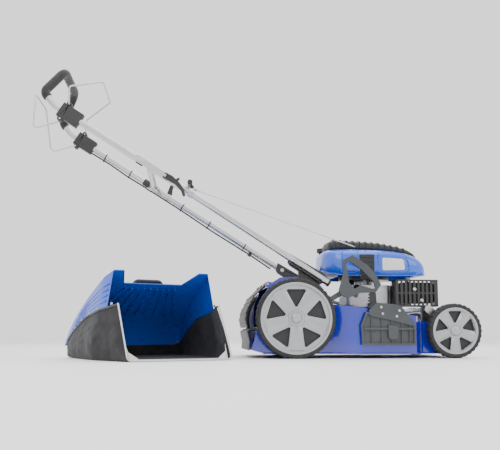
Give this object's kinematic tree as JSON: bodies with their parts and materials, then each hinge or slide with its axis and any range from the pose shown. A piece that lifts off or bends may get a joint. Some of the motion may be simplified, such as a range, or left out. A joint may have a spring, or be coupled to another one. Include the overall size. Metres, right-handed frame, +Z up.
{
  "type": "push lawn mower",
  "caption": "Walk-behind petrol lawn mower with a pressed deck, spoked wheels, covered engine, folding tube handle with bails and a grass bag standing beside it.",
  "frame": {"origin": "bottom centre of the whole object's bounding box, on the ground", "axes": "+X forwards, from the handle to the front wheels; +Y to the mower's left; +Z up"},
  "size_m": [1.607, 0.7293, 1.056],
  "materials": {
    "deck_paint": "gloss paint on pressed steel",
    "cowl_paint": "gloss moulding",
    "black_plastic": "fine-textured moulding",
    "grey_plastic": "fine-textured moulding",
    "bare_tube": "galvanised tube",
    "fastener_steel": "zinc plated",
    "blade_steel": "hardened steel",
    "engine_alloy": "die cast",
    "black_metal": "satin black paint",
    "wheel_silver": "silver moulding",
    "tyre_black": "moulded tread",
    "grip_foam": "foam sleeve",
    "lid_blue": "gloss moulding",
    "bag_cloth": "woven mesh",
    "rope_cord": "braided cord",
    "cable_sheath": "smooth sheath",
    "tank_white": "blow moulded"
  },
  "bodies": {
    "chassis": {"deck": "deck_paint", "rear_housing": "deck_paint", "flap_pins": "fastener_steel", "rear_skirt": "black_plastic", "flap_springs": "fastener_steel", "side_flap_bracket": "grey_plastic", "axle_bearings": "black_metal", "height_quadrant": "black_metal", "handle_brackets": "black_metal", "handle_bolts": "fastener_steel", "lower_handle": "bare_tube", "rope_guide": "fastener_steel", "starter_rope": "rope_cord", "cables_lower": "cable_sheath", "crankcase": "engine_alloy", "engine_bolts": "fastener_steel", "cylinder": "engine_alloy", "cylinder_head": "engine_alloy", "spark_plug": "cable_sheath", "muffler": "black_metal", "muffler_guard": "black_metal", "engine_cowl": "cowl_paint", "top_shroud": "black_plastic", "recoil_housing": "black_metal", "fuel_tank": "tank_white", "air_filter_box": "black_plastic", "carburettor": "engine_alloy"},
    "rear_swing_axle": {"rear_axle": "fastener_steel", "height_lever": "grey_plastic"},
    "front_swing_axle": {"front_axle": "fastener_steel"},
    "height_link_rod": {"height_link": "fastener_steel"},
    "rear_wheel_right": {"rear_rim_right": "wheel_silver", "rear_tyre_right": "tyre_black"},
    "rear_wheel_left": {"rear_rim_left": "wheel_silver", "rear_tyre_left": "tyre_black"},
    "front_wheel_right": {"front_rim_right": "wheel_silver", "front_tyre_right": "tyre_black"},
    "front_wheel_left": {"front_rim_left": "wheel_silver", "front_tyre_left": "tyre_black"},
    "blade_and_crank": {"crankshaft": "fastener_steel", "flywheel": "engine_alloy", "blade_mount": "black_metal", "blade": "blade_steel"},
    "side_discharge_flap": {"side_flap": "grey_plastic"},
    "rear_discharge_flap": {"rear_flap": "black_plastic"},
    "folding_handle": {"upper_handle": "bare_tube", "handle_grip": "grip_foam", "consoles": "black_plastic", "cables_upper": "cable_sheath"},
    "drive_control": {"drive_bail": "fastener_steel"},
    "engine_stop_control": {"stop_bail": "fastener_steel"},
    "clamp_lever_right": {"cam_lever_right": "black_plastic"},
    "clamp_lever_left": {"cam_lever_left": "black_plastic"},
    "pull_handle": {"starter_handle": "black_plastic"},
    "tank_cap": {"fuel_cap": "black_plastic"},
    "dipstick_cap": {"oil_cap": "black_plastic"},
    "grass_bag": {"bag_lid": "lid_blue", "bag_fabric": "bag_cloth", "bag_wire": "fastener_steel", "bag_handle": "black_plastic"}
  },
  "joints": [
    {"name": "rear_axle_swing", "type": "hinge", "parent": "chassis", "child": "rear_swing_axle", "pos_m": [0.2615, 0.11566, 0.205], "axis": [0, 1, 0], "range_deg": [-6, 10]},
    {"name": "front_axle_swing", "type": "hinge", "parent": "chassis", "child": "front_swing_axle", "pos_m": [0.6265, 0.11566, 0.175], "axis": [0, 1, 0], "range_deg": [-16, 10]},
    {"name": "height_link_pivot", "type": "hinge", "parent": "rear_swing_axle", "child": "height_link_rod", "pos_m": [0.2615, 0.29366, 0.235], "axis": [0, 1, 0], "range_deg": [-10, 6]},
    {"name": "rear_wheel_spin_right", "type": "hinge", "parent": "rear_swing_axle", "child": "rear_wheel_right", "pos_m": [0.1365, -0.11034, 0.14], "axis": [0, 1, 0], "continuous": true},
    {"name": "front_wheel_spin_right", "type": "hinge", "parent": "front_swing_axle", "child": "front_wheel_right", "pos_m": [0.7065, -0.10234, 0.097], "axis": [0, 1, 0], "continuous": true},
    {"name": "rear_wheel_spin_left", "type": "hinge", "parent": "rear_swing_axle", "child": "rear_wheel_left", "pos_m": [0.1365, 0.34166, 0.14], "axis": [0, 1, 0], "continuous": true},
    {"name": "front_wheel_spin_left", "type": "hinge", "parent": "front_swing_axle", "child": "front_wheel_left", "pos_m": [0.7065, 0.33366, 0.097], "axis": [0, 1, 0], "continuous": true},
    {"name": "blade_spin", "type": "hinge", "parent": "chassis", "child": "blade_and_crank", "pos_m": [0.4365, 0.11566, 0.2], "axis": [0, 0, 1], "continuous": true},
    {"name": "side_flap_hinge", "type": "hinge", "parent": "chassis", "child": "side_discharge_flap", "pos_m": [0.4115, -0.12434, 0.166], "axis": [-0.9736, 0, 0.2284], "range_deg": [0, 75], "stiffness_Nm_per_rad": 0.08, "springref_deg": -45.84},
    {"name": "rear_flap_hinge", "type": "hinge", "parent": "chassis", "child": "rear_discharge_flap", "pos_m": [0.0445, 0.11566, 0.264], "axis": [0, 1, 0], "range_deg": [0, 60], "stiffness_Nm_per_rad": 0.15, "springref_deg": -45.84},
    {"name": "handle_fold", "type": "hinge", "parent": "chassis", "child": "folding_handle", "pos_m": [-0.31976, 0.11566, 0.6389], "axis": [0, 1, 0], "range_deg": [0, 140]},
    {"name": "drive_bail_pivot", "type": "hinge", "parent": "folding_handle", "child": "drive_control", "pos_m": [-0.69509, 0.11566, 0.84214], "axis": [0, 1, 0], "range_deg": [0, 33], "stiffness_Nm_per_rad": 0.6, "springref_deg": -40.11},
    {"name": "stop_bail_pivot", "type": "hinge", "parent": "folding_handle", "child": "engine_stop_control", "pos_m": [-0.66159, 0.11566, 0.89193], "axis": [0, 1, 0], "range_deg": [-42, 0], "stiffness_Nm_per_rad": 0.6, "springref_deg": 40.11},
    {"name": "clamp_lever_right_hinge", "type": "hinge", "parent": "chassis", "child": "clamp_lever_right", "pos_m": [-0.31976, -0.09734, 0.6389], "axis": [-0.5388, 0, -0.8425], "range_deg": [0, 130]},
    {"name": "clamp_lever_left_hinge", "type": "hinge", "parent": "chassis", "child": "clamp_lever_left", "pos_m": [-0.31976, 0.32866, 0.6389], "axis": [-0.9848, 0, 0.1736], "range_deg": [0, 130]},
    {"name": "starter_pull", "type": "slide", "parent": "chassis", "child": "pull_handle", "axis": [-0.6074, 0, 0.7944], "range_m": [0, 0.5], "stiffness_N_per_m": 10, "springref_m": -0.5},
    {"name": "fuel_cap_turn", "type": "hinge", "parent": "chassis", "child": "tank_cap", "pos_m": [0.2945, 0.19966, 0.414], "axis": [0, 0, 1], "range_deg": [0, 90]},
    {"name": "oil_cap_turn", "type": "hinge", "parent": "chassis", "child": "dipstick_cap", "pos_m": [0.3865, 0.01426, 0.2506], "axis": [0, -0.7828, 0.6222], "range_deg": [0, 90]},
    {"name": "bag_away", "type": "slide", "parent": "chassis", "child": "grass_bag", "axis": [-1, 0, 0], "range_m": [0, 0.4]}
  ],
  "couplings": [
    {"joint": "front_axle_swing", "follows": "rear_axle_swing", "ratio": -1.5625},
    {"joint": "height_link_pivot", "follows": "rear_axle_swing", "ratio": -1}
  ]
}
